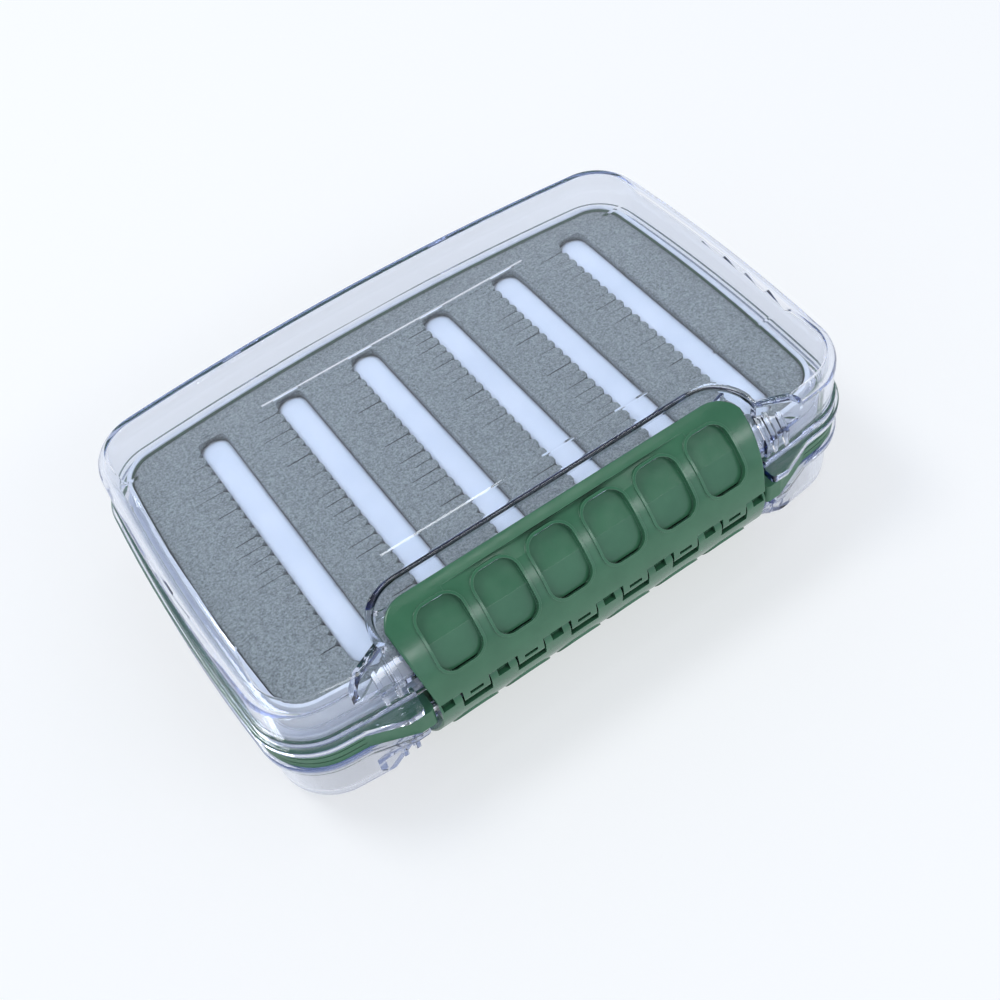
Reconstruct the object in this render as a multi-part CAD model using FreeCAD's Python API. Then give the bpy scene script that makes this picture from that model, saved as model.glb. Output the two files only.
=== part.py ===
"""Two-sided hook box: a green frame with slit foam on both faces, closed by a clear lid above and
an identical lid below. Each lid has its own curved latch at the front; both latches share one pin,
and both lids share one pin at the back.

Millimetres. Origin under the middle of the box, +X along its length, +Y to the lid hinge, +Z up.
"""
import FreeCAD, Part
import math
import os

V = FreeCAD.Vector

# Overall size
length = 156.0
depth = 105.0
height = 43.0
mid_z = height / 2

# Plan outline of the lid skirt: bowed sides joined by round corners
knuckle_proud = 0.9
corner_radius = 15.0
long_side_radius = 600.0
short_side_radius = 450.0
front_setback = 1.6
half_x = length / 2
half_y = depth / 2 - knuckle_proud

# Lid shell, as insets from the skirt and heights above the frame's band
band_half_height = 2.75
lid_gap = 0.2
skirt_height = 2.05
step_inset = 0.9
step_height = 2.4
wall_inset = 1.6
lid_wall = 1.7
lid_top_wall = 1.8
shoulder_radius = 5.0
skirt_round = 0.45
roof_slope_deg = 3.0
roof_back_slope = 25.3
roof_front_slope = 6.0
roof_line_width = 0.8
roof_line_depth = 0.12
roof_line_half = 36.0
roof_line_shift = -1.0
cavity_inset = wall_inset + lid_wall
skirt_z = mid_z + band_half_height + lid_gap
step_z = skirt_z + skirt_height
dome_z = step_z + step_height

# Seal, a trim pushed over the tray wall's rim, and the lid's ledge that closes on its foot
seal_clearance = 0.2
seal_width = 2.3
seal_height = 1.45
seal_round = 0.45
seal_leg = 0.4
seal_cap = 0.3
seal_gap = 0.05
ledge_gap = 0.05
ledge_thickness = 1.6
ledge_clearance = 0.9
seal_inset = cavity_inset + seal_clearance
ledge_z = mid_z + band_half_height + seal_height + ledge_gap

# Frame
band_inset = 0.8
floor_half_thickness = 1.0
wall_gap = 0.1
wall_draft = 0.4
wall_thickness = 0.7
wall_height = 9.6
mould_line_width = 0.35
mould_line_depth = 0.25
mould_line_height = 0.95
wall_inset_base = seal_inset + seal_width + wall_gap
wall_inset_top = wall_inset_base + wall_draft
tray_inset = wall_inset_top + wall_thickness
ledge_inset = wall_inset_base - ledge_clearance

# Foam and what holds it
foam_gap = 0.2
adhesive_margin = 0.6
adhesive_thickness = 0.2
foam_top = 9.1
slot_depth = 2.6
slot_count = 6
slot_left_margin = 18.2
slot_right_margin = 12.2
slot_front_margin = 4.8
slot_back_margin = 6.6
slot_width = 7.2
notch_pitch = 2.45
notch_width = 1.5
notch_depth = 0.9
foam_inset = tray_inset + foam_gap
adhesive_inset = foam_inset + adhesive_margin
foam_base_top = foam_top - slot_depth
slot_back = half_y - foam_inset - slot_back_margin
slot_front = front_setback - half_y + foam_inset + slot_front_margin
first_slot_right = foam_inset - half_x + slot_left_margin + slot_width
last_slot_right = half_x - foam_inset - slot_right_margin
slot_pitch = (last_slot_right - first_slot_right) / (slot_count - 1)

# Latch: a slice of a cylinder about an axis inside the box, wider at its top than at its hinge
latch_drop = 0.9
latch_side = 35.0
latch_flare = 3.0
latch_thickness = 2.2
latch_top_deg = 100.0
latch_corner = 7.5
latch_edge_round = 0.5
latch_gap = 0.5
knuckle_count = 13
knuckle_radius = 2.5
knuckle_overhang = 1.5
knuckle_gap = 0.4
latch_pin_radius = 0.8
pin_running_gap = 0.05
latch_half = half_x - latch_side
latch_top_half = latch_half + latch_flare
latch_radius = mid_z - latch_drop
latch_axis_y = latch_radius - depth / 2
latch_inner_radius = latch_radius - latch_thickness
latch_top = math.radians(latch_top_deg)
latch_top_y = latch_axis_y + latch_radius * math.cos(latch_top)
pin_y = knuckle_radius - depth / 2
knuckle_pitch = 2 * (latch_half + knuckle_overhang) / knuckle_count

# Snap bead under the latch's top edge
bead_radius = 0.6
bead_margin_deg = 5.0
bead_margin = 9.0
bead_rise = 0.2
bead_gap = 0.2
bead_deg = latch_top_deg + bead_margin_deg
bead_half = latch_half - bead_margin

# Windows in the latch, and the shallow panel that leaves a finger lip
window_count = 6
window_spacing = 3.3
window_margin_deg = 13.0
window_to_deg = 155.0
window_top_flat = 3.6
window_depth = 0.95
rim_width = 0.6
rim_height = 0.35
panel_margin = 12.0
panel_margin_deg = 8.5
panel_span_deg = 10.5
panel_depth = 1.0
panel_end_depth = 0.02
window_pitch = 2 * knuckle_pitch
window_width = window_pitch - window_spacing
window_corner = (window_width - window_top_flat) / 2
window_from_deg = latch_top_deg + window_margin_deg
window_middle_deg = (window_from_deg + window_to_deg) / 2
panel_half = latch_half - panel_margin
panel_from_deg = latch_top_deg + panel_margin_deg
panel_to_deg = panel_from_deg + panel_span_deg

# Core holes in the knuckles
square_hole = (2.9, 1.9)
slot_hole = (3.3, 1.0)
core_hole_rise = 1.05
core_hole_wall = 0.25

# Front bay of the lid, with an ear beside each end of the latch
skirt_slot_gap = -0.2
bay_side_gap = 0.8
finger_gap = 3.4
bay_step = 2.0
bay_ramp_gap = 0.3
bay_corner = 9.0
bay_edge_round = 1.2
bay_floor_gap = 0.6
bay_front_gap = 0.2
ear_width = 11.4
ear_rise = 2.1
ear_reach = 9.3
ear_taper = 5.0
ear_rib_places = (2.0, 5.0)
ear_rib_thickness = 1.0
ear_rib_height = 1.6
skirt_slot_half = latch_top_half + skirt_slot_gap
bay_half = latch_top_half + bay_side_gap
bay_radius = latch_inner_radius - latch_gap
bay_back = latch_top_y + finger_gap
bay_floor_z = mid_z + latch_inner_radius * math.sin(latch_top) - bay_floor_gap
bay_front = pin_y + knuckle_radius + bay_front_gap
bay_step_z = height - bay_step
bay_ramp_back = latch_top_y + bay_ramp_gap
ear_half = bay_half + ear_width
ear_radius = bay_radius + ear_rise
ear_back = ear_reach - depth / 2
bay_foot = latch_axis_y - math.sqrt(bay_radius ** 2 - (bay_floor_z - mid_z) ** 2)
roof_flat_front = bay_back + roof_front_slope
roof_flat_back = half_y - roof_back_slope

# Hinge lugs beside the latch
lug_gap = 0.9
lug_setback = 0.5
lug_flat = 4.0
lug_flare = 12.0
lug_round = 1.2
lug_pin_depth = 3.6
lug_front = lug_setback - depth / 2

# Back hinge: one group of three knuckles on each side and a short frame knuckle near the middle
hinge_radius = 2.1
hinge_pin_radius = 0.75
hinge_group_from = 24.8
hinge_knuckle = 5.1
hinge_gap = 0.2
short_knuckle_from = 2.7
short_knuckle = 5.5
hinge_clearance = 0.3
flat_back_gap = 0.2
hinge_y = depth / 2 - hinge_radius

# Longer than any piece, for cutters that run right through
reach = 2 * length


def outline(z, inset, setback=0.0):
    """Closed plan outline at height z, inset from the skirt, with its front edge set back."""
    reach_y = half_y - setback / 2
    long_centre = V(0, reach_y - long_side_radius, 0)
    short_centre = V(half_x - short_side_radius, 0, 0)
    long_arm = long_side_radius - corner_radius
    short_arm = short_side_radius - corner_radius
    span = short_centre - long_centre
    along = (long_arm ** 2 - short_arm ** 2 + span.Length ** 2) / (2 * span.Length)
    across = math.sqrt(long_arm ** 2 - along ** 2)
    unit = span / span.Length
    corner = long_centre + unit * along + V(-unit.y, unit.x, 0) * across
    if corner.x < 0 or corner.y < 0:
        corner = long_centre + unit * along - V(-unit.y, unit.x, 0) * across
    to_long = (corner - long_centre).normalize()
    to_short = (corner - short_centre).normalize()
    on_long = corner + to_long * (corner_radius - inset)
    on_short = corner + to_short * (corner_radius - inset)
    on_corner = corner + (to_long + to_short).normalize() * (corner_radius - inset)

    def at(point, sign_x, sign_y):
        return V(sign_x * point.x, sign_y * point.y + setback / 2, z)

    crown_y = V(0, reach_y - inset, 0)
    crown_x = V(half_x - inset, 0, 0)
    arcs = [
        (at(on_long, -1, 1), at(crown_y, 1, 1), at(on_long, 1, 1)),
        (at(on_long, 1, 1), at(on_corner, 1, 1), at(on_short, 1, 1)),
        (at(on_short, 1, 1), at(crown_x, 1, 1), at(on_short, 1, -1)),
        (at(on_short, 1, -1), at(on_corner, 1, -1), at(on_long, 1, -1)),
        (at(on_long, 1, -1), at(crown_y, 1, -1), at(on_long, -1, -1)),
        (at(on_long, -1, -1), at(on_corner, -1, -1), at(on_short, -1, -1)),
        (at(on_short, -1, -1), at(crown_x, -1, 1), at(on_short, -1, 1)),
        (at(on_short, -1, 1), at(on_corner, -1, 1), at(on_long, -1, 1)),
    ]
    return Part.Wire([Part.Arc(*arc).toShape() for arc in arcs])


def slab(z_low, z_high, inset, setback=0.0):
    """Plate with the plan outline between two heights."""
    return Part.Face(outline(z_low, inset, setback)).extrude(V(0, 0, z_high - z_low))


def box(x, y, z):
    """Box from three (low, high) pairs."""
    return Part.makeBox(x[1] - x[0], y[1] - y[0], z[1] - z[0], V(x[0], y[0], z[0]))


def rod(radius, x, y, z):
    """Cylinder along X between the pair x, about the line (y, z)."""
    return Part.makeCylinder(radius, x[1] - x[0], V(x[0], y, z), V(1, 0, 0))


def polygon_prism(points, direction):
    """Prism swept from a closed polygon of points."""
    wire = Part.makePolygon(points + points[:1])
    return Part.Face(wire).extrude(direction)


def top_edges(solid, z):
    """Edges of a solid that lie wholly at height z."""
    return [edge for edge in solid.Edges
            if abs(edge.BoundBox.ZMin - z) < 1e-6 and abs(edge.BoundBox.ZMax - z) < 1e-6]


def turned_under(solid):
    """Copy of an upper piece turned half round about the Y axis, to serve the lower face."""
    copy = solid.copy()
    copy.rotate(V(0, 0, mid_z), V(0, 1, 0), 180)
    return copy


def on_latch(radius, angle_deg, x=0.0):
    """Point at a radius and angle about the latch's cylinder axis; 90 is up and 180 is front."""
    angle = math.radians(angle_deg)
    return V(x, latch_axis_y + radius * math.cos(angle), mid_z + radius * math.sin(angle))


def round_back(half_width, back, radius, z):
    """Plan outline at height z: straight sides, open to the front, two round corners at the back."""
    side = back - radius
    quarter = radius * math.sqrt(0.5)
    inner = half_width - radius
    edges = [
        Part.LineSegment(V(-half_width, -depth, z), V(half_width, -depth, z)),
        Part.LineSegment(V(half_width, -depth, z), V(half_width, side, z)),
        Part.Arc(V(half_width, side, z), V(inner + quarter, side + quarter, z), V(inner, back, z)),
        Part.LineSegment(V(inner, back, z), V(-inner, back, z)),
        Part.Arc(V(-inner, back, z), V(-inner - quarter, side + quarter, z), V(-half_width, side, z)),
        Part.LineSegment(V(-half_width, side, z), V(-half_width, -depth, z)),
    ]
    return Part.Wire([edge.toShape() for edge in edges])


def round_back_plate(half_width, back, radius, z):
    """Tall plate with a round-backed plan between the pair of heights z."""
    return Part.Face(round_back(half_width, back, radius, z[0])).extrude(V(0, 0, z[1] - z[0]))


def roof_cutters(drop):
    """Wedges that slope the lid's top down towards its front and back, at a depth below the top."""
    rise = reach * math.tan(math.radians(roof_slope_deg))
    level = height - drop
    cutters = []
    for start, way in ((roof_flat_front, -1), (roof_flat_back, 1)):
        points = [
            V(-reach, start, level),
            V(-reach, start + way * reach, level - rise),
            V(-reach, start + way * reach, level + reach),
            V(-reach, start, level + reach),
        ]
        cutters.append(polygon_prism(points, V(2 * reach, 0, 0)))
    return cutters


def roof_lines():
    """Fine grooves along the two creases of the lid's top."""
    half = roof_line_width / 2
    lines = []
    for y in (roof_flat_front, roof_flat_back):
        start = roof_line_shift - roof_line_half
        points = [
            V(start, y - half, height),
            V(start, y, height - roof_line_depth),
            V(start, y + half, height),
            V(start, y, height + roof_line_depth),
        ]
        lines.append(polygon_prism(points, V(2 * roof_line_half, 0, 0)))
    return lines


def bay_space(grow, slot_z):
    """Space for the latch and its ears at the front of a lid, grown by a wall thickness."""
    front = bay_front + grow
    slot = skirt_slot_half + grow
    ear = ear_half + grow
    half = bay_half + grow
    upward = (dome_z - grow, height + reach)
    centre_slot = box((-slot, slot), (-depth, front), (slot_z, height))
    core = rod(bay_radius - grow, (-reach, reach), latch_axis_y, mid_z)
    core = core.common(box((-reach, reach), (front, reach), (0, height + reach)))
    back = ear_back + grow
    plan = [
        V(-ear, -depth, upward[0]),
        V(ear, -depth, upward[0]),
        V(ear, back - ear_taper, upward[0]),
        V(half, back, upward[0]),
        V(-half, back, upward[0]),
        V(-ear, back - ear_taper, upward[0]),
    ]
    ears = polygon_prism(plan, V(0, 0, upward[1] - upward[0]))
    ears = ears.cut(rod(ear_radius - grow, (-reach, reach), latch_axis_y, mid_z))
    corner = bay_corner + grow
    step = bay_step_z - grow
    bay = round_back_plate(half, bay_back + grow, corner, (step, height + reach))
    curve = round_back_plate(half, bay_back + grow, corner, upward)
    curve = curve.common(box((-half, half), (-depth, bay_foot + grow), upward)).cut(core)
    foot = round_back(half, bay_ramp_back + grow, corner, bay_floor_z - grow)
    ramp = Part.makeLoft([foot, round_back(half, bay_back + grow, corner, step)], True, True)
    return ears.fuse([curve, bay, ramp, centre_slot.cut(core)])


def bay_rim(body):
    """Edges where the lid's top breaks into the bay and into the ears beside it."""
    rim = []
    for edge in body.Edges:
        middle = edge.valueAt((edge.FirstParameter + edge.LastParameter) / 2)
        upright = edge.BoundBox.ZLength > 0.99 * edge.BoundBox.DiagonalLength
        beside = abs(middle.x) < ear_half - bay_edge_round and middle.y < bay_back + bay_edge_round
        above = middle.z > bay_step_z + bay_step / 4
        if beside and above and not upright:
            rim.append(edge)
    return rim


def ear_ribs():
    """Stiffening ribs on the sloping ears beside the latch."""
    rim = ear_radius + ear_rib_height
    ring = rod(rim, (-ear_half, ear_half), latch_axis_y, mid_z)
    ring = ring.cut(rod(ear_radius - lid_wall / 2, (-reach, reach), latch_axis_y, mid_z))
    ribs = []
    for place in ear_rib_places:
        for side in (-1, 1):
            centre = side * (bay_half + place)
            span = (centre - ear_rib_thickness / 2, centre + ear_rib_thickness / 2)
            ribs.append(ring.common(box(span, (bay_front - ear_rib_height, ear_back), (dome_z, height))))
    return ribs


def lug_plan(z, overhang):
    """Plan polygon of the right-hand lug beside the latch, flaring back into the side."""
    inner = latch_half + lug_gap + overhang
    return [
        V(inner, bay_front, z),
        V(inner, lug_front, z),
        V(inner + lug_flat, lug_front, z),
        V(inner + lug_flat + lug_flare, bay_front, z),
    ]


def lugs(z_low, z_high, overhang):
    """Pair of flared lugs, with the corner that shows in front rounded."""
    right = polygon_prism(lug_plan(z_low, overhang), V(0, 0, z_high - z_low))
    upright = [edge for edge in right.Edges
               if edge.BoundBox.ZLength > (z_high - z_low) / 2 and edge.BoundBox.YMax < bay_front - lug_round]
    right = right.makeFillet(lug_round, upright)
    left = right.mirror(V(0, 0, 0), V(1, 0, 0))
    return [right, left]


def hinge_spans():
    """X spans of the back hinge's knuckles, by the piece that carries them."""
    step = hinge_knuckle + hinge_gap
    first = (hinge_group_from, hinge_group_from + hinge_knuckle)
    second = (first[0] + step, first[1] + step)
    third = (second[0] + step, second[1] + step)
    short = (short_knuckle_from, short_knuckle_from + short_knuckle)

    def flipped(span):
        return (-span[1], -span[0])

    return {
        "upper": [first, flipped(second)],
        "lower": [second, flipped(first)],
        "frame": [third, flipped(third), short, flipped(short)],
        "pin": (flipped(third)[0], third[1]),
    }


def bead_line():
    """Y and Z of the snap bead under the latch's top edge."""
    centre = on_latch(latch_inner_radius - bead_rise, bead_deg)
    return centre.y, centre.z


def make_upper_lid():
    """Clear lid: bowed shell with a stepped skirt, a bay for the latch and two hinge knuckles."""
    dome = slab(step_z, height, wall_inset)
    dome = dome.makeFillet(shoulder_radius, top_edges(dome, height))
    skirt = slab(skirt_z, step_z, 0.0)
    skirt = skirt.makeFillet(skirt_round, top_edges(skirt, step_z) + top_edges(skirt, skirt_z))
    step = slab(step_z, dome_z, step_inset)
    step = step.makeFillet(skirt_round, top_edges(step, dome_z))
    body = skirt.fuse([step, dome])
    body = body.fuse(lugs(skirt_z, step_z, skirt_slot_half - latch_half - lug_gap))
    body = body.cut(roof_cutters(0.0)).cut(roof_lines())
    body = body.cut(box((-reach, reach), (hinge_y - flat_back_gap, reach), (0, height)))
    body = body.cut(bay_space(0.0, 0.0)).removeSplitter()
    body = body.makeFillet(bay_edge_round, bay_rim(body))

    ceiling = height - lid_top_wall
    cavity = slab(skirt_z - lid_gap, ceiling, cavity_inset)
    cavity = cavity.makeFillet(shoulder_radius - lid_wall, top_edges(cavity, ceiling))
    cavity = cavity.cut(roof_cutters(lid_top_wall))
    ledge = slab(ledge_z, ledge_z + ledge_thickness, cavity_inset)
    ledge = ledge.cut(slab(ledge_z, ledge_z + ledge_thickness, ledge_inset, front_setback))
    cavity = cavity.cut([bay_space(lid_wall, ledge_z), ledge])
    body = body.cut(cavity)

    body = body.fuse(ear_ribs())
    groove = rod(bead_radius + bead_gap, (-bead_half - bead_gap, bead_half + bead_gap), *bead_line())
    body = body.cut(groove)

    for span in hinge_spans()["upper"]:
        barrel = rod(hinge_radius, span, hinge_y, mid_z)
        web = box(span, (hinge_y - hinge_radius, hinge_y - flat_back_gap), (mid_z, step_z))
        body = body.fuse([barrel, web])
    bore = rod(hinge_pin_radius + pin_running_gap, (-reach, reach), hinge_y, mid_z)
    return body.cut(bore).removeSplitter()


def window_prism(centre_x, grow):
    """Rounded bar through the latch wall, square to the window's middle."""
    half_angle = math.radians(window_to_deg - window_from_deg) / 2
    half_tall = latch_radius * math.sin(half_angle) + grow
    half_wide = window_width / 2 + grow
    bar = Part.makeBox(2 * half_wide, 2 * half_tall, latch_radius, V(-half_wide, -half_tall, 0))
    upright = [edge for edge in bar.Edges if edge.BoundBox.ZLength > latch_radius / 2]
    bar = bar.makeFillet(window_corner + grow, upright)
    bar.translate(V(0, 0, latch_radius * math.cos(half_angle) - latch_thickness))
    bar.rotate(V(0, 0, 0), V(1, 0, 0), window_middle_deg - 90)
    bar.translate(V(centre_x, latch_axis_y, mid_z))
    return bar


def creased_core():
    """Solid behind the window floors: two flat faces that meet in a crease across the middle."""
    floor = latch_radius - window_depth
    points = [
        on_latch(floor, window_from_deg, -reach),
        on_latch(floor, window_middle_deg, -reach),
        on_latch(floor, window_to_deg, -reach),
        V(-reach, latch_axis_y, mid_z),
    ]
    return polygon_prism(points, V(2 * reach, 0, 0))


def panel_cut():
    """Shallow lens below the latch's top edge, deepest at the middle, which leaves a finger lip."""
    sections = []
    for x, drop in ((-panel_half, panel_end_depth), (0, panel_depth), (panel_half, panel_end_depth)):
        points = [
            on_latch(latch_radius - drop, panel_from_deg, x),
            on_latch(latch_radius + panel_depth, panel_from_deg, x),
            on_latch(latch_radius + panel_depth, panel_to_deg, x),
            on_latch(latch_radius, panel_to_deg, x),
        ]
        sections.append(Part.makePolygon(points + points[:1]))
    return Part.makeLoft(sections, True)


def flared_front():
    """Front view of a latch as a prism: upright beside the frame, then widening to its top."""
    low = mid_z - knuckle_radius
    knee = mid_z + band_half_height
    points = [
        V(-latch_half, -depth, low),
        V(latch_half, -depth, low),
        V(latch_half, -depth, knee),
        V(latch_top_half, -depth, height),
        V(-latch_top_half, -depth, height),
        V(-latch_half, -depth, knee),
    ]
    return polygon_prism(points, V(0, depth, 0))


def outer_rim(latch):
    """Edges of a plain latch wall's outer face, apart from the one at its foot."""
    rim = []
    for edge in latch.Edges:
        middle = edge.valueAt((edge.FirstParameter + edge.LastParameter) / 2)
        radius = math.hypot(middle.y - latch_axis_y, middle.z - mid_z)
        if abs(radius - latch_radius) < 1e-4 and middle.z > mid_z + knuckle_radius:
            rim.append(edge)
    return rim


def knuckle_hole(centre_x, size, rise):
    """Moulding core hole in the front of a knuckle, stopping short of the pin."""
    wide, tall = size
    end_y = pin_y - latch_pin_radius - pin_running_gap - core_hole_wall
    centre_z = mid_z + rise
    return box((centre_x - wide / 2, centre_x + wide / 2), (-depth, end_y),
               (centre_z - tall / 2, centre_z + tall / 2))


def make_latch(own_parity, core_hole, hole_rise):
    """Curved latch, made as the upper one; own_parity says which knuckles of the row it carries."""
    sweep = (-latch_top_half, latch_top_half)
    ring = rod(latch_radius, sweep, latch_axis_y, mid_z)
    ring = ring.cut(rod(latch_inner_radius, (-reach, reach), latch_axis_y, mid_z))
    plan = round_back_plate(latch_top_half, latch_top_y, latch_corner, (mid_z, height))
    latch = ring.common(plan).common(flared_front())
    latch = latch.makeFillet(latch_edge_round, outer_rim(latch)).cut(panel_cut())

    core = creased_core()
    shell = rod(latch_radius + rim_height, sweep, latch_axis_y, mid_z)
    shell = shell.cut(rod(latch_radius - latch_thickness / 2, (-reach, reach), latch_axis_y, mid_z))
    for index in range(window_count):
        centre_x = (index - (window_count - 1) / 2) * window_pitch
        opening = window_prism(centre_x, 0.0)
        rim = window_prism(centre_x, rim_width).cut(opening).common(shell)
        latch = latch.cut(opening.cut(core)).fuse(rim)

    latch = latch.fuse(rod(bead_radius, (-bead_half, bead_half), *bead_line()))
    shelf = mid_z + knuckle_radius + knuckle_gap
    for index in range(knuckle_count):
        start = (index - knuckle_count / 2) * knuckle_pitch
        end = start + knuckle_pitch
        if index % 2 == own_parity:
            span = (max(start + knuckle_gap / 2, -latch_half), min(end - knuckle_gap / 2, latch_half))
            latch = latch.fuse(rod(knuckle_radius, span, pin_y, mid_z))
            latch = latch.cut(knuckle_hole((start + end) / 2, core_hole, hole_rise))
        else:
            gap = (start - knuckle_gap / 2, end + knuckle_gap / 2)
            latch = latch.cut(box(gap, (-depth, 0), (0, shelf)))
    bore = rod(latch_pin_radius + pin_running_gap, (-reach, reach), pin_y, mid_z)
    return latch.cut(bore).removeSplitter()


def tray_wall(grow, rise):
    """Wall round the foam on the frame's upper face, drawn in towards its top; grown and raised for a trim."""
    low = outline(mid_z, wall_inset_base - grow, front_setback)
    high = outline(mid_z + wall_height + rise, wall_inset_top - grow, front_setback)
    return Part.makeLoft([low, high], True, True)


def make_frame():
    """Green frame: outer band, floor, a tray on both faces, latch lugs and hinge knuckles."""
    low_z = mid_z - band_half_height
    high_z = mid_z + band_half_height
    band = slab(low_z, high_z, band_inset)
    for level in (mid_z - mould_line_height, mid_z + mould_line_height):
        line = slab(level - mould_line_width / 2, level + mould_line_width / 2, 0.0)
        kept = slab(level - mould_line_width / 2, level + mould_line_width / 2, band_inset + mould_line_depth)
        band = band.cut(line.cut(kept))
    slot = latch_half + lug_gap
    recess_y = pin_y + knuckle_radius + knuckle_gap
    band = band.cut(box((-slot, slot), (-depth, recess_y), (0, height)))
    spans = hinge_spans()
    for span in spans["upper"] + spans["lower"]:
        pocket = (span[0] - hinge_gap, span[1] + hinge_gap)
        hinge_front = hinge_y - hinge_radius - hinge_clearance
        band = band.cut(box(pocket, (hinge_front, depth), (0, height)))

    upper_wall = tray_wall(0.0, 0.0)
    frame = band.fuse([upper_wall, turned_under(upper_wall)])
    frame = frame.fuse(lugs(low_z, high_z, 0.0))
    tray = slab(mid_z + floor_half_thickness, height, tray_inset, front_setback)
    frame = frame.cut([tray, turned_under(tray)])
    frame = frame.fuse([rod(hinge_radius, span, hinge_y, mid_z) for span in spans["frame"]])
    lug_end = slot + lug_pin_depth
    frame = frame.cut(rod(latch_pin_radius, (-lug_end, lug_end), pin_y, mid_z))
    return frame.cut(rod(hinge_pin_radius, spans["pin"], hinge_y, mid_z)).removeSplitter()


def make_latch_pin():
    """Steel pin through the latch knuckles, its ends in the frame's lugs."""
    end = latch_half + lug_gap + lug_pin_depth
    return rod(latch_pin_radius, (-end, end), pin_y, mid_z)


def make_hinge_pin():
    """Steel pin through the back hinge."""
    return rod(hinge_pin_radius, hinge_spans()["pin"], hinge_y, mid_z)


def make_upper_seal():
    """Rubber trim: a foot on the frame's band, a leg up the tray wall and a cap over the wall's rim."""
    low = mid_z + band_half_height
    high = low + seal_height
    foot = slab(low, high, seal_inset, front_setback)
    foot = foot.makeFillet(seal_round, top_edges(foot, high))
    rise = seal_gap + seal_cap
    leg = tray_wall(seal_gap + seal_leg, rise)
    leg = leg.makeFillet(seal_cap, top_edges(leg, mid_z + wall_height + rise))
    below = slab(0, low, 0.0)
    middle = slab(0, height, tray_inset, front_setback)
    return foot.fuse(leg).cut([below, tray_wall(seal_gap, seal_gap), middle]).removeSplitter()


def slot_outline(right_x, z):
    """Foam slot: straight right side, round ends, and a left side with a notch at every slit."""
    radius = slot_width / 2
    left_x = right_x - slot_width
    centre_x = right_x - radius
    back = slot_back - radius
    front = slot_front + radius
    notch_count = int((back - front) / notch_pitch) + 1
    first = (back + front) / 2 + notch_pitch * (notch_count - 1) / 2
    left_side = [V(left_x, back, z)]
    for index in range(notch_count):
        notch_y = first - index * notch_pitch
        left_side.append(V(left_x, notch_y + notch_width / 2, z))
        left_side.append(V(left_x - notch_depth, notch_y, z))
        left_side.append(V(left_x, notch_y - notch_width / 2, z))
    left_side.append(V(left_x, front, z))
    edges = [Part.LineSegment(V(right_x, front, z), V(right_x, back, z)).toShape()]
    edges.append(Part.Arc(V(right_x, back, z), V(centre_x, slot_back, z), V(left_x, back, z)).toShape())
    for start, end in zip(left_side, left_side[1:]):
        edges.append(Part.LineSegment(start, end).toShape())
    edges.append(Part.Arc(V(left_x, front, z), V(centre_x, slot_front, z), V(right_x, front, z)).toShape())
    return Part.Wire(edges)


def make_upper_foam():
    """Grey slit foam with its row of slots."""
    low = mid_z + foam_base_top
    pad = slab(low, mid_z + foam_top, foam_inset, front_setback)
    slots = []
    for index in range(slot_count):
        right_x = first_slot_right + index * slot_pitch
        slots.append(Part.Face(slot_outline(right_x, low)).extrude(V(0, 0, slot_depth)))
    return pad.cut(slots)


def make_upper_foam_base():
    """White foam under the slit foam, seen in its slots."""
    low = mid_z + floor_half_thickness + adhesive_thickness
    return slab(low, mid_z + foam_base_top, foam_inset, front_setback)


def make_upper_adhesive():
    """Adhesive film between the foam and the frame's floor."""
    low = mid_z + floor_half_thickness
    return slab(low, low + adhesive_thickness, adhesive_inset, front_setback)


def main():
    os.makedirs("parts", exist_ok=True)
    upper = {
        "lid": make_upper_lid(),
        "seal": make_upper_seal(),
        "foam": make_upper_foam(),
        "foam_base": make_upper_foam_base(),
        "adhesive": make_upper_adhesive(),
    }
    pieces = {
        "centre_frame": make_frame(),
        "latch_pin": make_latch_pin(),
        "hinge_pin": make_hinge_pin(),
        "upper_latch": make_latch(1, slot_hole, core_hole_rise),
        "lower_latch": turned_under(make_latch(0, square_hole, -core_hole_rise)),
    }
    for name, solid in upper.items():
        pieces["upper_" + name] = solid
        pieces["lower_" + name] = turned_under(solid)
    for name, shape in pieces.items():
        shape.exportStep("parts/" + name + ".step")
        print(name, "solids", len(shape.Solids), "volume", round(shape.Volume, 1), "valid", shape.isValid())


main()
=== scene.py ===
"""Two-sided hook box with clear lids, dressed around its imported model. Metres, +X along the box, +Z up."""

import bmesh
import bpy
import numpy as np
from mathutils import Matrix, Vector
from mathutils.geometry import delaunay_2d_cdt


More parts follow.
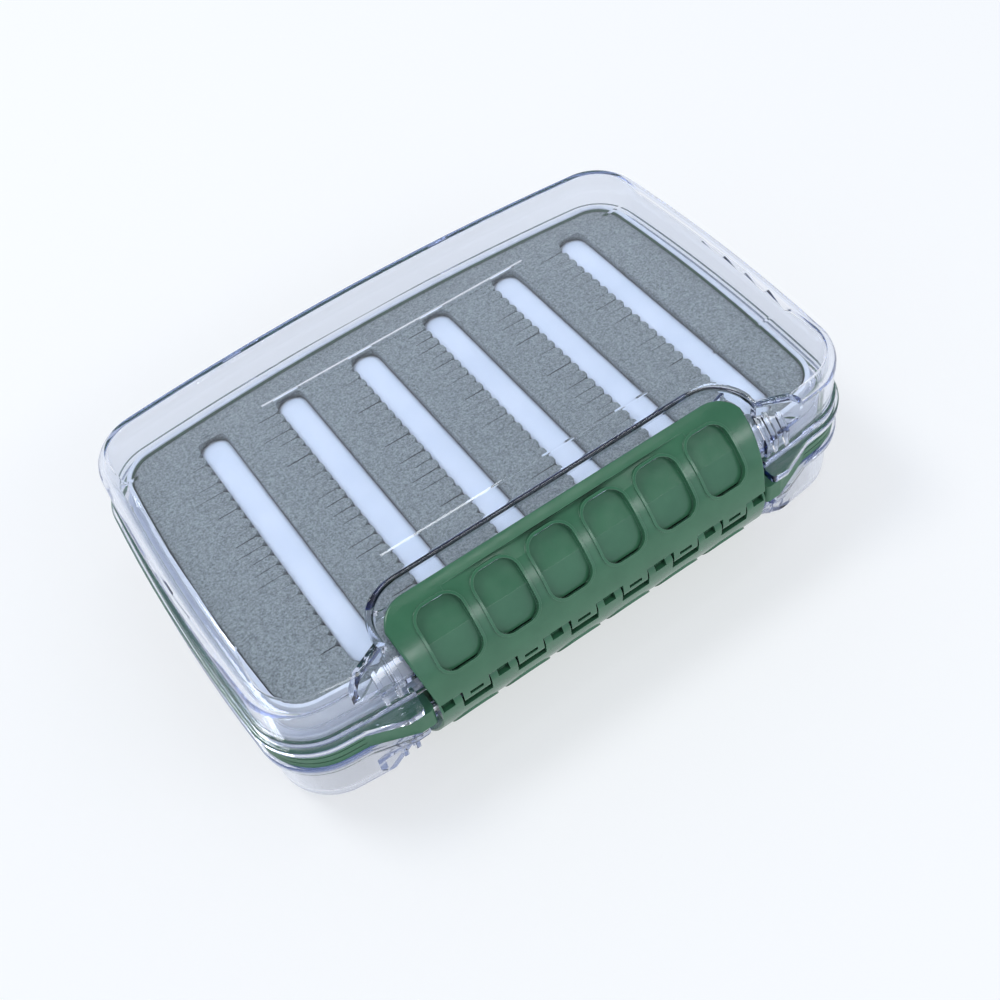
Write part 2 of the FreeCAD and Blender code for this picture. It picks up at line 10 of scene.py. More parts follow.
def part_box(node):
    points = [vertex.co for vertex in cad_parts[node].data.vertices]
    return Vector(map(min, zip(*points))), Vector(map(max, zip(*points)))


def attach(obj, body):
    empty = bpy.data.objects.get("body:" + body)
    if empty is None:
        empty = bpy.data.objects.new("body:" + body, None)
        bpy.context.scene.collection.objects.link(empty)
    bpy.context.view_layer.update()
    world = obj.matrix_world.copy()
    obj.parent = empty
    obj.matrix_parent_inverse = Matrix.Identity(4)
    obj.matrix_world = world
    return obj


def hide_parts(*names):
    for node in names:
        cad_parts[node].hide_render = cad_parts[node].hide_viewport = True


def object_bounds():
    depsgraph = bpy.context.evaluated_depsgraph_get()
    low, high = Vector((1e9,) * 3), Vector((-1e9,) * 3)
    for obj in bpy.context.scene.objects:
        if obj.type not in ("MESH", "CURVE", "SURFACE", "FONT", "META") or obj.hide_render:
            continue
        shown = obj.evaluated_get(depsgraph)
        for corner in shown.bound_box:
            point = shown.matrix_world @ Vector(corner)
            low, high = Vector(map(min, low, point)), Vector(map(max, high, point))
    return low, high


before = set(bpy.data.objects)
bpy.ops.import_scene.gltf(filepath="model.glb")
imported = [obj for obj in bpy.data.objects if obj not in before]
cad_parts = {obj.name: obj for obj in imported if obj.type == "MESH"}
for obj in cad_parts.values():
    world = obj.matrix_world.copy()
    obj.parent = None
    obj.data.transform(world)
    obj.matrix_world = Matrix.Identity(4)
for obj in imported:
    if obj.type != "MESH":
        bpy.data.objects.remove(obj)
cad_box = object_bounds()

# Middle frame
# One moulding in green plastic with a satin skin: band, floor, two trays, latch lugs and hinge knuckles.
# It comes out of the mould, so its skin has flow mottling and a fine grain.
green = (0.037, 0.134, 0.068, 1.0)
green_pale = (0.049, 0.160, 0.083, 1.0)
# Paler edge colour: partly rubbed wear, partly painted highlight.
green_worn_and_highlight = (0.120, 0.270, 0.165, 1.0)
# Near-black painted shade for narrow gaps and holes.
green_painted_shade = (0.004, 0.012, 0.007, 1.0)
painted_shade_reach = 0.0022
painted_shade_span = (0.10, 0.55)
edge_round = 0.00014
worn_and_highlight_reach = 0.0002
worn_and_highlight_span = (0.80, 0.96)
mottle_grain = (140.0, 3.0)
gloss_grain = (420.0, 4.0)
skin_grain = (2600.0, 2.0)
skin_relief = (0.00004, 0.3)
frame_gloss = (0.40, 0.52)
worn_and_highlight_rays = 6
edge_rays = 4
gap_rays = 8


def add_node(owner, kind, **settings):
    """New shader node of a kind in a material or the world, with its plain settings."""
    node = owner.node_tree.nodes.new("ShaderNode" + kind)
    for name, value in settings.items():
        setattr(node, name, value)
    return node


def join(owner, source, target):
    """Link from an output socket to an input socket in a material or the world."""
    owner.node_tree.links.new(source, target)


def new_finish(name):
    """Material with a Principled shader on its output, and that shader."""
    material = bpy.data.materials.new(name)
    material.use_nodes = True
    shader = material.node_tree.nodes["Principled BSDF"]
    return material, shader


def grain(material, scale, detail, stretch=(1.0, 1.0, 1.0)):
    """Noise in the piece's own coordinates, as many to the metre as scale says, stretched along its axes."""
    place = add_node(material, "TexCoord")
    turn = add_node(material, "Mapping")
    turn.inputs["Scale"].default_value = stretch
    noise = add_node(material, "TexNoise")
    noise.inputs["Scale"].default_value = scale
    noise.inputs["Detail"].default_value = detail
    join(material, place.outputs["Object"], turn.inputs["Vector"])
    join(material, turn.outputs["Vector"], noise.inputs["Vector"])
    return noise.outputs["Fac"]


def between(material, value, low, high, start=0.3, end=0.7):
    """Value in the span start to end, carried to the span low to high."""
    carry = add_node(material, "MapRange")
    carry.inputs["From Min"].default_value = start
    carry.inputs["From Max"].default_value = end
    carry.inputs["To Min"].default_value = low
    carry.inputs["To Max"].default_value = high
    join(material, value, carry.inputs["Value"])
    return carry.outputs["Result"]


def two_tones(material, value, first, second):
    """Colour that goes from first to second with a value from 0 to 1; second may be a socket."""
    mix = add_node(material, "Mix", data_type="RGBA")
    join(material, value, mix.inputs["Factor"])
    mix.inputs["A"].default_value = first
    if isinstance(second, tuple):
        mix.inputs["B"].default_value = second
    else:
        join(material, second, mix.inputs["B"])
    return mix.outputs["Result"]


def relief(material, height, depth, strength, under=None):
    """Bumped normal for a height from 0 to 1 that stands for a depth in metres, over a normal if given."""
    bump = add_node(material, "Bump")
    bump.inputs["Strength"].default_value = strength
    bump.inputs["Distance"].default_value = depth
    join(material, height, bump.inputs["Height"])
    if under is not None:
        join(material, under, bump.inputs["Normal"])
    return bump.outputs["Normal"]


def moulded_green(name, gloss, own_gaps):
    """Satin green moulding: mottled in colour and gloss, fine grain, edges softened and painted paler, partly
    as rubbed wear and partly as painted highlight, and dark with painted shade in its narrow gaps, which are
    its own alone where own_gaps is true."""
    material, shader = new_finish(name)
    mottle = between(material, grain(material, *mottle_grain), 0.0, 1.0)
    face = add_node(material, "NewGeometry")
    # Painted highlight and wear: rounded edges are coloured paler, partly as rubbed wear and partly as the
    # light they catch.
    rubbed_and_lit_edges = add_node(material, "Bevel", samples=worn_and_highlight_rays)
    rubbed_and_lit_edges.inputs["Radius"].default_value = worn_and_highlight_reach
    flatness = add_node(material, "VectorMath", operation="DOT_PRODUCT")
    join(material, face.outputs["Normal"], flatness.inputs[0])
    join(material, rubbed_and_lit_edges.outputs["Normal"], flatness.inputs[1])
    plain_face = between(material, flatness.outputs["Value"], 0.0, 1.0, *worn_and_highlight_span)
    skin = two_tones(material, plain_face, green_worn_and_highlight, two_tones(material, mottle, green, green_pale))
    # Painted shade: the colour goes to near black where little open space surrounds a point, as in gaps and
    # holes.
    open_sky = add_node(material, "AmbientOcclusion", samples=gap_rays, only_local=own_gaps)
    open_sky.inputs["Distance"].default_value = painted_shade_reach
    openness = between(material, open_sky.outputs["AO"], 0.0, 1.0, *painted_shade_span)
    join(material, two_tones(material, openness, green_painted_shade, skin), shader.inputs["Base Color"])
    shine = between(material, grain(material, *gloss_grain), *gloss)
    join(material, shine, shader.inputs["Roughness"])
    edges = add_node(material, "Bevel", samples=edge_rays)
    edges.inputs["Radius"].default_value = edge_round
    skin_normal = relief(material, grain(material, *skin_grain), *skin_relief, edges.outputs["Normal"])
    join(material, skin_normal, shader.inputs["Normal"])
    return material


def dress(node, material):
    """A CAD node shown as it is, in a new finish."""
    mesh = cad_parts[node].data
    mesh.materials.clear()
    mesh.materials.append(material)


frame_green = moulded_green("frame_green", frame_gloss, True)
dress("centre_frame", frame_green)

# Hinge pins
# Two lengths of drawn steel wire, one through the latch knuckles and one through the lid knuckles.
# Their ends are pressed into the frame.
steel_light = (0.62, 0.62, 0.64, 1.0)
steel_dark = (0.48, 0.48, 0.50, 1.0)
steel_gloss = (0.22, 0.36)
draw_grain = (900.0, 3.0, (0.04, 1.0, 1.0))

drawn_steel, steel = new_finish("drawn_steel")
draw_lines = between(drawn_steel, grain(drawn_steel, *draw_grain), 0.0, 1.0)
steel_tone = two_tones(drawn_steel, draw_lines, steel_dark, steel_light)
join(drawn_steel, steel_tone, steel.inputs["Base Color"])
steel_shine = between(drawn_steel, draw_lines, *steel_gloss, 0.0, 1.0)
join(drawn_steel, steel_shine, steel.inputs["Roughness"])
steel.inputs["Metallic"].default_value = 1.0
dress("latch_pin", drawn_steel)
dress("hinge_pin", drawn_steel)

# Adhesive films
# Thin double-sided film under each foam pad, which holds it to the frame's floor.
# It is pale, with a faint fibre.
film_light = (0.74, 0.73, 0.68, 1.0)
film_dark = (0.64, 0.63, 0.58, 1.0)
film_roughness = 0.7
fibre_grain = (700.0, 4.0, (0.3, 1.0, 1.0))

pale_film, film = new_finish("adhesive_film")
fibre = between(pale_film, grain(pale_film, *fibre_grain), 0.0, 1.0)
join(pale_film, two_tones(pale_film, fibre, film_dark, film_light), film.inputs["Base Color"])
film.inputs["Roughness"].default_value = film_roughness
for node in ("upper_adhesive", "lower_adhesive"):
    dress(node, pale_film)

# White backing foam
# Smooth closed-cell foam that fills the tray under the slit sheet, and shows at the bottom of the slots.
# The sheet above presses on it, so it swells up into each slot, steep at the sides and low at the two ends.
# Shade is painted on it where it lies deep in the sheet's narrow notches, so there it shows dark.
white_light = (0.80, 0.87, 0.97, 1.0)
white_shade = (0.74, 0.82, 0.93, 1.0)
# Near-black painted shade for the notches.
notch_painted_shade = (0.030, 0.036, 0.040, 1.0)
notch_reach = 0.0025
notch_span = (0.35, 0.58)
white_roughness = 0.75
white_shine = 0.25
cell_grain = (2200.0, 2.0)
cell_relief = (0.00006, 0.25)
drift_grain = (90.0, 2.0)
long_bow = 0.5928
short_bow = 0.4428
tray_corner = 0.0078
pad_edge_round = 0.0003
slot_count = 6
slot_width = 0.0072
slot_left_margin = 0.0182
slot_right_margin = 0.0122
slot_front_margin = 0.0048
slot_back_margin = 0.0066
slot_swell = 0.0005
slot_step = 0.0008
slot_side = 0.03
ring_shares = (1.0, 1.0 - slot_side, 0.85, 0.65, 0.4, 0.12)
ring_steps = 34
end_steps = 17
same_point = 1e-8
join_distance = 2e-7
mid_height = (cad_box[0][2] + cad_box[1][2]) / 2

sheet_low, sheet_high = (np.array(corner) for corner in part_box("upper_foam"))
backing_low, backing_high = (np.array(corner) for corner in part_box("upper_foam_base"))
first_right = sheet_low[0] + slot_left_margin + slot_width
slot_rights = np.linspace(first_right, sheet_high[0] - slot_right_margin, slot_count)
slot_front = sheet_low[1] + slot_front_margin
slot_back = sheet_high[1] - slot_back_margin
slot_radius = slot_width / 2
slot_middles = slot_rights - slot_radius


def tray_outline(low, high, steps=40):
    """Closed plan line (n, 2), counter-clockwise: four sides bowed as arcs, joined by corner arcs that touch
    them. A side is centre + radius * (sin t, cos t). One quarter is worked out and mirrored into the others."""
    half = (high[:2] - low[:2]) / 2
    long_centre = np.array([0.0, half[1] - long_bow])
    short_centre = np.array([half[0] - short_bow, 0.0])
    span = short_centre - long_centre
    gap = np.linalg.norm(span)
    long_arm, short_arm = long_bow - tray_corner, short_bow - tray_corner
    along = (long_arm ** 2 - short_arm ** 2 + gap ** 2) / (2 * gap)
    across = np.sqrt(long_arm ** 2 - along ** 2)
    unit = span / gap
    corner = long_centre + unit * along + np.array([-unit[1], unit[0]]) * across
    if corner.min() < 0:
        corner = long_centre + unit * along - np.array([-unit[1], unit[0]]) * across
    top_angle = np.arctan2(*(corner - long_centre))
    side_angle = np.arctan2(*(corner - short_centre))
    arcs = ((long_centre, long_bow, 0.0, top_angle),
            (corner, tray_corner, top_angle, side_angle),
            (short_centre, short_bow, side_angle, np.pi / 2))
    quarter = []
    for centre, radius, start, end in arcs:
        t = np.linspace(start, end, steps)[:-1]
        quarter.append(centre + radius * np.column_stack([np.sin(t), np.cos(t)]))
    quarter = np.vstack(quarter + [[[half[0], 0.0]]])
    right = np.vstack([quarter, quarter[-2::-1] * (1, -1)])
    clockwise = np.vstack([right, right[-2:0:-1] * (-1, 1)])
    return clockwise[::-1] + (high[:2] + low[:2]) / 2


def inside(loop, points):
    """True for each point of (n, 2) that lies in a closed plan line: it has an odd number of the line's
    crossings to its right."""
    ahead = np.roll(loop, -1, axis=0)
    x, y = points[:, :1], points[:, 1:]
    spans = (loop[:, 1] > y) != (ahead[:, 1] > y)
    rise = np.where(ahead[:, 1] == loop[:, 1], 1.0, ahead[:, 1] - loop[:, 1])
    cross = loop[:, 0] + (y - loop[:, 1]) * (ahead[:, 0] - loop[:, 0]) / rise
    return (spans & (x < cross)).sum(axis=1) % 2 == 1


def filled(loops, inner):
    """Points (n, 2) and triangles (m, 3) that fill the first loop less the others, inner points among them."""
    edges, start = [], 0
    for loop in loops:
        index = np.arange(len(loop))
        edges.append(np.column_stack([index, np.roll(index, -1)]) + start)
        start += len(loop)
    points = np.vstack(loops + [inner])
    flat_points = [Vector(point) for point in points]
    found = delaunay_2d_cdt(flat_points, np.vstack(edges).tolist(), [], 1, same_point)
    flat, triangles = np.array(found[0]), np.array(found[2])
    middle = flat[triangles].mean(axis=1)
    keep = inside(loops[0], middle)
    for loop in loops[1:]:
        keep &= ~inside(loop, middle)
    return flat, triangles[keep]


def into_material(loop):
    """Unit plan normals of a closed line, to its left: into the material for a pad's edge run counter-clockwise
    and for a hole run clockwise."""
    tangent = np.roll(loop, -1, axis=0) - np.roll(loop, 1, axis=0)
    tangent /= np.linalg.norm(tangent, axis=1)[:, None]
    return np.column_stack([-tangent[:, 1], tangent[:, 0]])


def soft_pad(name, loops, rounds, low_z, high_z, inner, lift, steps=4):
    """Closed pad between two heights: plan area of loops, edges rounded by the radius r of each point as
    inset r (1 - sin a), drop r (1 - cos a), and its top raised by lift(x, y)."""
    corners, faces, base = [], [], 0
    angles = np.linspace(0, np.pi / 2, steps)

    def keep(points, z, rows):
        nonlocal base
        corners.append(np.column_stack([points, np.broadcast_to(z, len(points))]))
        faces.extend((np.asarray(rows) + base).tolist())
        base += len(points)

    top_loops = [loop + into_material(loop) * r[:, None] for loop, r in zip(loops, rounds)]
    flat, triangles = filled(top_loops, inner)
    keep(flat, high_z + lift(flat), triangles)
    flat, triangles = filled(loops, np.zeros((0, 2)))
    keep(flat, low_z, triangles[:, ::-1])
    for loop, r in zip(loops, rounds):
        normal = into_material(loop)
        top = high_z + lift(loop + normal * r[:, None])
        rings = []
        for a in angles:
            inset = normal * (r * (1 - np.sin(a)))[:, None]
            rings.append(np.column_stack([loop + inset, top - r * (1 - np.cos(a))]))
        rings.append(np.column_stack([loop, np.full(len(loop), low_z)]))
        count = len(loop)
        index = np.arange(count)
        ahead = np.roll(index, -1)
        rows = []
        for start in np.arange(len(rings) - 1) * count:
            rows.append(np.column_stack([index, index + count, ahead + count, ahead]) + start)
        ring_points = np.vstack(rings)
        keep(ring_points[:, :2], ring_points[:, 2], np.vstack(rows))
    mesh = bpy.data.meshes.new(name)
    mesh.from_pydata(np.vstack(corners).tolist(), [], faces)
    merged = bmesh.new()
    merged.from_mesh(mesh)
    bmesh.ops.remove_doubles(merged, verts=merged.verts, dist=join_distance)
    merged.to_mesh(mesh)
    merged.free()
    return mesh


def show(name, mesh, material, smooth_deg=40.0):
    """Piece at the origin with its place in its mesh, smooth but for edges sharper than an angle."""
    mesh.materials.append(material)
    mesh.shade_smooth()
    mesh.set_sharp_from_angle(angle=np.radians(smooth_deg))
    piece = bpy.data.objects.new(name, mesh)
    bpy.context.scene.collection.objects.link(piece)
    return piece


def turned_under(mesh):
    """Copy of a mesh turned half round about the box's middle line along Y, for the lower side."""
    copy = mesh.copy()
    middle = Matrix.Translation((0, 0, mid_height))
    copy.transform(middle @ Matrix.Rotation(np.pi, 4, "Y") @ middle.inverted())
    return copy


def backing_swell(points):
    """Rise of the backing in a slot: a steep step at its side, then swell * (1 - u^2) with u from the slot's
    middle line to its edge, both eased to nothing at the slot's two ends as 1 - v^10."""
    middle = (slot_front + slot_back) / 2
    half = (slot_back - slot_front) / 2
    along = points[:, 1] - middle
    beyond = np.clip(np.abs(along) - half + slot_radius, 0, None)
    out = np.hypot(points[:, :1] - slot_middles, beyond[:, None]) / slot_radius
    out = np.clip(out.min(axis=1), 0, 1)
    rise = slot_step * np.clip((1 - out) / slot_side, 0, 1) + slot_swell * (1 - out ** 2)
    return rise * np.clip(1 - (along / half) ** 10, 0, None)


def slot_ring(middle_x, share):
    """Plan points (n, 2) of a slot's outline with its half width cut to a share: two straight sides and two
    half circles."""
    reach = slot_radius * share
    front, back = slot_front + slot_radius, slot_back - slot_radius
    straight = np.linspace(front, back, ring_steps)[1:-1]
    turn = np.linspace(0, np.pi, end_steps)
    return np.vstack([np.column_stack([np.full(len(straight), middle_x - reach), straight]),
                      np.column_stack([np.full(len(straight), middle_x + reach), straight]),
                      np.column_stack([middle_x + reach * np.cos(turn), back + reach * np.sin(turn)]),
                      np.column_stack([middle_x - reach * np.cos(turn), front - reach * np.sin(turn)])])


slot_points = np.vstack([slot_ring(middle_x, share) for middle_x in slot_middles for share in ring_shares])

backing_edge = tray_outline(backing_low, backing_high)
backing_rounds = [np.full(len(backing_edge), pad_edge_round)]
backing_mesh = soft_pad("backing", [backing_edge], backing_rounds, backing_low[2], backing_high[2],
                        slot_points, backing_swell)

white_foam, white = new_finish("white_foam")
cells = grain(white_foam, *cell_grain)
white_drift = between(white_foam, grain(white_foam, *drift_grain), 0.0, 1.0)
white_skin = two_tones(white_foam, white_drift, white_shade, white_light)
# Painted shade: the white goes to near black where the sheet's notches close round it.
notch_sky = add_node(white_foam, "AmbientOcclusion", samples=gap_rays)
notch_sky.inputs["Distance"].default_value = notch_reach
slot_open = between(white_foam, notch_sky.outputs["AO"], 0.0, 1.0, *notch_span)
white_tone = two_tones(white_foam, slot_open, notch_painted_shade, white_skin)
join(white_foam, white_tone, white.inputs["Base Color"])
join(white_foam, relief(white_foam, cells, *cell_relief), white.inputs["Normal"])
white.inputs["Roughness"].default_value = white_roughness
white.inputs["Specular IOR Level"].default_value = white_shine

for side, mesh in (("upper", backing_mesh), ("lower", turned_under(backing_mesh))):
    backing = show(side + "_backing", mesh, white_foam)
    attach(backing, "frame")
    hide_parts(side + "_foam_base")

# Slit foam sheet
# Grey closed-cell foam, die-cut with six slots. A notch and a knife slit stand at every hook place on a slot's
# left side, so the sheet there is a row of tongues that lie at slightly different heights.
# About half the slits gape. The others are shut to a hairline.
foam_dark = (0.124, 0.144, 0.148, 1.0)
foam_light = (0.330, 0.374, 0.380, 1.0)
# Near-black painted shade for the slits, notches and other narrow places.
foam_painted_shade = (0.030, 0.036, 0.038, 1.0)
foam_shade_reach = 0.0022
foam_shade_span = (0.30, 0.80)
foam_span = (0.36, 0.64)
foam_roughness = 0.85
foam_shine = 0.2
foam_relief = (0.00012, 0.5)
speckle_grain = (2500.0, 3.0)
knife_grain = (2200.0, 3.0, (0.5, 1.0, 1.0))
knife_share = 0.3
notch_pitch = 0.0032
notch_width = 0.0020
notch_depth = 0.0011
notch_end_gap = 0.0001
open_slits = 0.5
slit_reach = (0.0036, 0.0068)
slit_width = (0.00012, 0.00034)
shut_reach = 0.0045
shut_width = 0.00003
slit_round = 0.00004
tongue_round = 0.00008
tongue_lift = 0.00010
tongue_reach = 0.0105
tongue_overhang = 0.1
tongue_steps = np.array([0.0016, 0.0038, 0.0064, 0.0090])
side_steps = 24
round_steps = 19
foam_seed = 7

rng = np.random.default_rng(foam_seed)
notch_room = slot_back - slot_front - slot_width - notch_width - notch_end_gap
notch_count = int(notch_room / notch_pitch) + 1
first_notch = slot_back - slot_radius - notch_width / 2 - notch_end_gap
notch_places = first_notch - np.arange(notch_count) * notch_pitch
slot_lefts = slot_rights - slot_width
slit_open = rng.random((slot_count, notch_count)) < open_slits
slit_lengths = np.where(slit_open, rng.uniform(*slit_reach, slit_open.shape), shut_reach)
slit_halves = np.where(slit_open, rng.uniform(*slit_width, slit_open.shape), shut_width) / 2
tongue_heights = rng.uniform(-tongue_lift, tongue_lift, (slot_count, notch_count + 1))


def slot_loop(index):
    """Plan line (n, 2) of one slot, run clockwise, and its edge radii: straight right side, round ends, and a
    left side where each place is a notch with a slit from its tip."""
    right = slot_rights[index]
    left = right - slot_width
    centre = right - slot_radius
    back, front = slot_back - slot_radius, slot_front + slot_radius
    half = notch_width / 2
    reach = slit_lengths[index]
    gap = slit_halves[index]
    tip = left - notch_depth
    places = notch_places
    ones = np.ones(notch_count)
    teeth_x = np.column_stack([left * ones, tip * ones, tip - reach, tip - reach, tip * ones, left * ones])
    teeth_y = np.column_stack([places + half, places + gap, places + gap / 2,
                               places - gap / 2, places - gap, places - half])
    teeth = np.column_stack([teeth_x.ravel(), teeth_y.ravel()])
    tooth_round = [tongue_round, slit_round, slit_round, slit_round, slit_round, tongue_round]
    teeth_round = np.tile(tooth_round, notch_count)
    turn = np.linspace(0, np.pi, round_steps)[1:-1]
    front_end = np.column_stack([centre - slot_radius * np.cos(turn), front - slot_radius * np.sin(turn)])
    back_end = np.column_stack([centre + slot_radius * np.cos(turn), back + slot_radius * np.sin(turn)])
    side = np.column_stack([np.full(side_steps, right), np.linspace(front, back, side_steps)])
    counter = np.vstack([side, back_end, teeth, front_end])
    plain = np.full(len(side) + len(back_end), pad_edge_round)
    radii = np.concatenate([plain, teeth_round, np.full(len(front_end), pad_edge_round)])
    return counter[::-1], radii[::-1]


def tongue_rise(points):
    """Rise of the sheet: each tongue's own height, full at the slot and eased to nothing as (1 - u)^2 away
    from it."""
    row = (points[:, 1] - notch_places[0]) / -notch_pitch
    tongue = np.clip(np.ceil(row).astype(int), 0, notch_count)
    away = (slot_lefts - points[:, :1]) / tongue_reach
    share = np.where((away > -tongue_overhang) & (away < 1), (1 - np.clip(away, 0, 1)) ** 2, 0)
    return (share * tongue_heights[:, tongue].T).sum(axis=1)


tongue_middles = np.append(notch_places + notch_pitch / 2, notch_places[-1] - notch_pitch / 2)
tongue_grid = np.stack(np.meshgrid(slot_lefts, tongue_steps, tongue_middles, indexing="ij"), axis=-1)
tongue_x = tongue_grid[..., 0] - tongue_grid[..., 1]
tongue_points = np.column_stack([tongue_x.ravel(), tongue_grid[..., 2].ravel()])

sheet_edge = tray_outline(sheet_low, sheet_high)
slot_loops, slot_rounds = zip(*(slot_loop(index) for index in range(slot_count)))
sheet_rounds = [np.full(len(sheet_edge), pad_edge_round), *slot_rounds]
sheet_mesh = soft_pad("slit_sheet", [sheet_edge, *slot_loops], sheet_rounds, sheet_low[2], sheet_high[2],
                      tongue_points, tongue_rise)

grey_foam, grey = new_finish("grey_foam")
speckle = grain(grey_foam, *speckle_grain)
knife_marks = grain(grey_foam, *knife_grain)
both = add_node(grey_foam, "Mix", data_type="FLOAT")
both.inputs["Factor"].default_value = knife_share
join(grey_foam, speckle, both.inputs["A"])
join(grey_foam, knife_marks, both.inputs["B"])
foam_texture = both.outputs["Result"]
foam_tone = between(grey_foam, foam_texture, 0.0, 1.0, *foam_span)
foam_skin = two_tones(grey_foam, foam_tone, foam_dark, foam_light)
# Painted shade: the colour goes to near black where little open space surrounds a point.
foam_sky = add_node(grey_foam, "AmbientOcclusion", samples=gap_rays)
foam_sky.inputs["Distance"].default_value = foam_shade_reach
foam_open = between(grey_foam, foam_sky.outputs["AO"], 0.0, 1.0, *foam_shade_span)
join(grey_foam, two_tones(grey_foam, foam_open, foam_painted_shade, foam_skin), grey.inputs["Base Color"])
join(grey_foam, relief(grey_foam, foam_texture, *foam_relief), grey.inputs["Normal"])
grey.inputs["Roughness"].default_value = foam_roughness
grey.inputs["Specular IOR Level"].default_value = foam_shine

for side, mesh in (("upper", sheet_mesh), ("lower", turned_under(sheet_mesh))):
    sheet = show(side + "_slit_sheet", mesh, grey_foam)
    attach(sheet, "frame")
    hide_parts(side + "_foam")

# Seals
# Soft rubber trims round the two trays, pressed by the lids' ledges: a foot on the frame's shelf, a leg up
# the tray's wall and a cap over its rim. They are pale grey with a matt bloom.
rubber_light = (0.74, 0.78, 0.84, 1.0)
rubber_dark = (0.66, 0.70, 0.77, 1.0)
rubber_gloss = (0.45, 0.6)
bloom_grain = (300.0, 3.0)

seal_rubber, rubber = new_finish("seal_rubber")
bloom = between(seal_rubber, grain(seal_rubber, *bloom_grain), 0.0, 1.0)
join(seal_rubber, two_tones(seal_rubber, bloom, rubber_dark, rubber_light), rubber.inputs["Base Color"])
join(seal_rubber, between(seal_rubber, bloom, *rubber_gloss, 0.0, 1.0), rubber.inputs["Roughness"])
for node in ("upper_seal", "lower_seal"):
    dress(node, seal_rubber)

# Clear lids
# Two like mouldings in clear polished plastic, with the faint flow waves that moulding leaves in its faces.
# It is bluish through its thickness. Lamps reach the foam through it, so shadow rays pass at part strength, and
# refraction brings the rest.
clear_tint = (0.985, 0.99, 1.0, 1.0)
clear_ior = 1.585
clear_roughness = 0.01
edge_blue = (0.30, 0.42, 0.70, 1.0)
edge_density = 55.0
shadow_tint = (0.53, 0.59, 0.67, 1.0)
wave_grain = (45.0, 1.0)
wave_relief = (0.0001, 0.03)
wall_passes = 40

clear_plastic, clear = new_finish("clear_plastic")
clear.inputs["Base Color"].default_value = clear_tint
clear.inputs["Transmission Weight"].default_value = 1.0
clear.inputs["IOR"].default_value = clear_ior
clear.inputs["Roughness"].default_value = clear_roughness
waves = relief(clear_plastic, grain(clear_plastic, *wave_grain), *wave_relief)
join(clear_plastic, waves, clear.inputs["Normal"])
rays = add_node(clear_plastic, "LightPath")
open_way = add_node(clear_plastic, "BsdfTransparent")
open_way.inputs["Color"].default_value = shadow_tint
choice = add_node(clear_plastic, "MixShader")
join(clear_plastic, rays.outputs["Is Shadow Ray"], choice.inputs["Fac"])
join(clear_plastic, clear.outputs["BSDF"], choice.inputs[1])
join(clear_plastic, open_way.outputs["BSDF"], choice.inputs[2])
depth_tint = add_node(clear_plastic, "VolumeAbsorption")
depth_tint.inputs["Color"].default_value = edge_blue
depth_tint.inputs["Density"].default_value = edge_density
clear_out = clear_plastic.node_tree.nodes["Material Output"]
join(clear_plastic, choice.outputs["Shader"], clear_out.inputs["Surface"])
join(clear_plastic, depth_tint.outputs["Volume"], clear_out.inputs["Volume"])
for node in ("upper_lid", "lower_lid"):
    dress(node, clear_plastic)
bpy.context.scene.cycles.max_bounces = wall_passes
bpy.context.scene.cycles.transmission_bounces = wall_passes
bpy.context.scene.cycles.glossy_bounces = wall_passes

# Latches
# Two curved latches in the frame's green plastic, each with six sunk windows, a finger lip and hinge knuckles.
# Hands polish them, so they shine a little more than the frame.
latch_gloss = (0.17, 0.27)

latch_green = moulded_green("latch_green", latch_gloss, False)
for node in ("upper_latch", "lower_latch"):
    dress(node, latch_green)

# Studio
# Pale floor that reads white in the picture and keeps the box's shadow, under a soft sky that is dim at the
# horizon, bright above it and dim overhead. A wide strip lamp stands in front and a square one behind on the
# left, and a thin strip overhead draws fine lights along the clear edges.
floor_half = 3.0
floor_pale = (0.93, 0.94, 0.95, 1.0)
floor_roughness = 0.9
floor_white_share = 0.55
white_light_seen = (1.0, 1.0, 1.0, 1.0)
sky_top = (0.14, 0.165, 0.20, 1.0)
sky_low = (1.34, 1.47, 1.67, 1.0)
sky_horizon = (0.42, 0.47, 0.54, 1.0)
horizon_height = 0.26
lamp_colour = (0.96, 0.98, 1.0)
lamps = (
    ("front_lamp", (0.31, -0.73, 0.61), (0.90, 0.18), 2.2),
    ("back_lamp", (-0.30, 0.42, 0.90), (0.30, 0.30), 3.6),
    ("top_lamp", (0.27, 0.03, 0.96), (0.04, 0.30), 0.3),
)
camera_place = (-0.081694, -0.175799, 0.252942)
camera_forward = (0.2695, 0.5497, -0.7907)
camera_up = (0.5075, 0.6167, 0.6017)
photo_focal_pixels = 1285.5
photo_pixels = 1000
sensor_mm = 36.0
nearest_seen = 0.01

floor_mesh = bpy.data.meshes.new("floor")
floor_corners = np.array([(-1, -1, 0), (1, -1, 0), (1, 1, 0), (-1, 1, 0)]) * floor_half
floor_mesh.from_pydata(floor_corners.tolist(), [], [(0, 1, 2, 3)])
floor_paint, floor_shader = new_finish("floor_paint")
floor_shader.inputs["Base Color"].default_value = floor_pale
floor_shader.inputs["Roughness"].default_value = floor_roughness
floor_shader.inputs["Specular IOR Level"].default_value = 0.0
rays = add_node(floor_paint, "LightPath")
seen = add_node(floor_paint, "Math", operation="MAXIMUM")
seen_far = add_node(floor_paint, "Math", operation="MAXIMUM")
share = add_node(floor_paint, "Math", operation="MULTIPLY")
share.inputs[1].default_value = floor_white_share
glow = add_node(floor_paint, "Emission")
mixed = add_node(floor_paint, "MixShader")
join(floor_paint, rays.outputs["Is Camera Ray"], seen.inputs[0])
join(floor_paint, rays.outputs["Is Glossy Ray"], seen.inputs[1])
join(floor_paint, seen.outputs["Value"], seen_far.inputs[0])
join(floor_paint, rays.outputs["Is Transmission Ray"], seen_far.inputs[1])
join(floor_paint, seen_far.outputs["Value"], share.inputs[0])
join(floor_paint, share.outputs["Value"], mixed.inputs["Fac"])
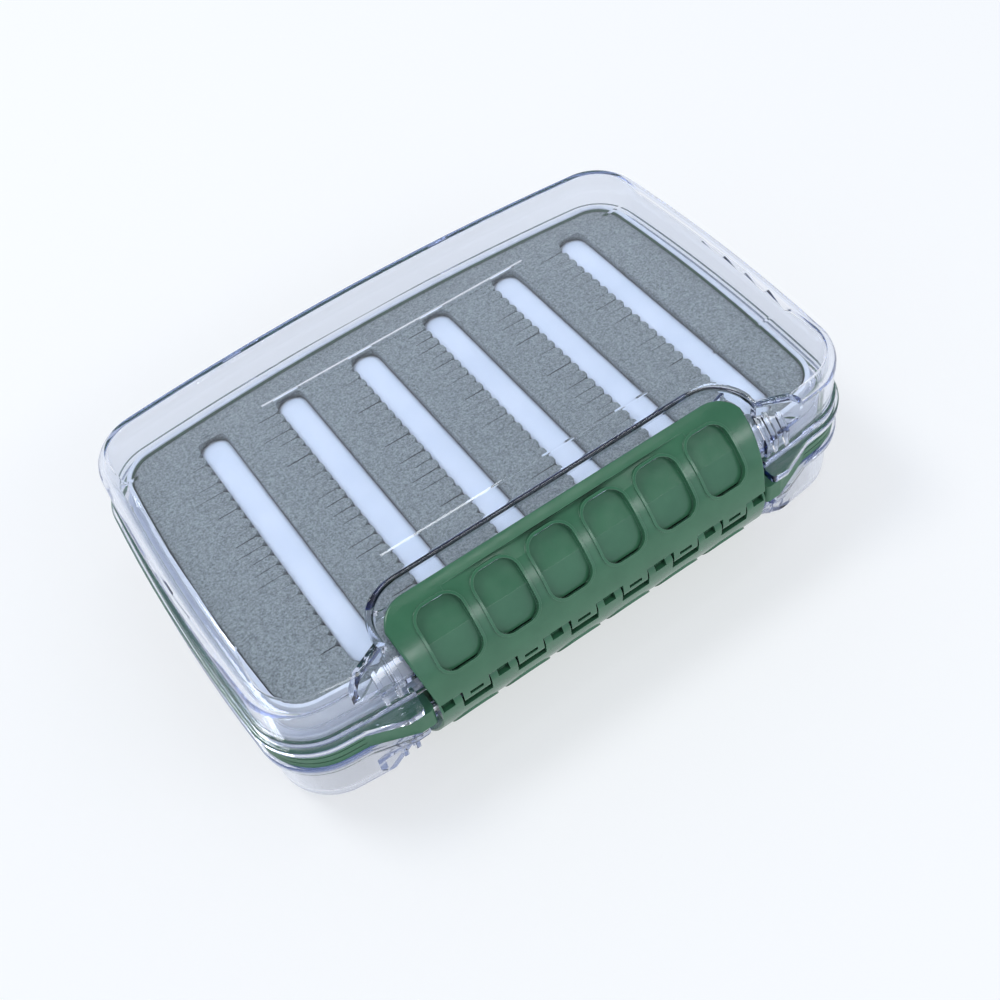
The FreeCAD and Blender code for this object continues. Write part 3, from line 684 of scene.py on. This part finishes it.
join(floor_paint, floor_shader.outputs["BSDF"], mixed.inputs[1])
join(floor_paint, glow.outputs["Emission"], mixed.inputs[2])
floor_out = floor_paint.node_tree.nodes["Material Output"]
join(floor_paint, mixed.outputs["Shader"], floor_out.inputs["Surface"])
floor = show("floor", floor_mesh, floor_paint)

world = bpy.data.worlds.new("sky")
world.use_nodes = True
bpy.context.scene.world = world
sky = world.node_tree.nodes["Background"]
direction = add_node(world, "TexCoord")
parts = add_node(world, "SeparateXYZ")
horizon_rise = add_node(world, "MapRange")
horizon_rise.inputs["From Max"].default_value = horizon_height
sky_side = add_node(world, "Mix", data_type="RGBA")
sky_side.inputs["A"].default_value = sky_horizon
sky_side.inputs["B"].default_value = sky_low
sky_mix = add_node(world, "Mix", data_type="RGBA")
sky_mix.inputs["B"].default_value = sky_top
sky_rays = add_node(world, "LightPath")
sky_ways = add_node(world, "Math", operation="MAXIMUM")
sky_seen = add_node(world, "Mix", data_type="RGBA")
sky_seen.inputs["B"].default_value = white_light_seen
for source, target in (
        (direction.outputs["Generated"], parts.inputs["Vector"]),
        (parts.outputs["Z"], horizon_rise.inputs["Value"]),
        (horizon_rise.outputs["Result"], sky_side.inputs["Factor"]),
        (sky_side.outputs["Result"], sky_mix.inputs["A"]),
        (parts.outputs["Z"], sky_mix.inputs["Factor"]),
        (sky_mix.outputs["Result"], sky_seen.inputs["A"]),
        (sky_rays.outputs["Is Camera Ray"], sky_ways.inputs[0]),
        (sky_rays.outputs["Is Transmission Ray"], sky_ways.inputs[1]),
        (sky_ways.outputs["Value"], sky_seen.inputs["Factor"]),
        (sky_seen.outputs["Result"], sky.inputs["Color"])):
    join(world, source, target)

for name, place, size, watts in lamps:
    lamp = bpy.data.lights.new(name, "AREA")
    lamp.shape = "RECTANGLE"
    lamp.size, lamp.size_y = size
    lamp.energy = watts
    lamp.color = lamp_colour
    lamp_object = bpy.data.objects.new(name, lamp)
    lamp_object.location = place
    lamp_object.rotation_euler = (-Vector(place)).to_track_quat("-Z", "Y").to_euler()
    bpy.context.scene.collection.objects.link(lamp_object)

camera = bpy.data.cameras.new("photo_view")
camera.sensor_width = sensor_mm
camera.lens = photo_focal_pixels / photo_pixels * camera.sensor_width
camera.clip_start = nearest_seen
back = -Vector(camera_forward).normalized()
right = Vector(camera_up).cross(back).normalized()
up = back.cross(right)
camera_object = bpy.data.objects.new("photo_view", camera)
camera_turn = Matrix((right, up, back)).transposed().to_4x4()
camera_object.matrix_world = Matrix.Translation(camera_place) @ camera_turn
bpy.context.scene.collection.objects.link(camera_object)
bpy.context.scene.camera = camera_object
bpy.context.scene.view_settings.view_transform = "Standard"
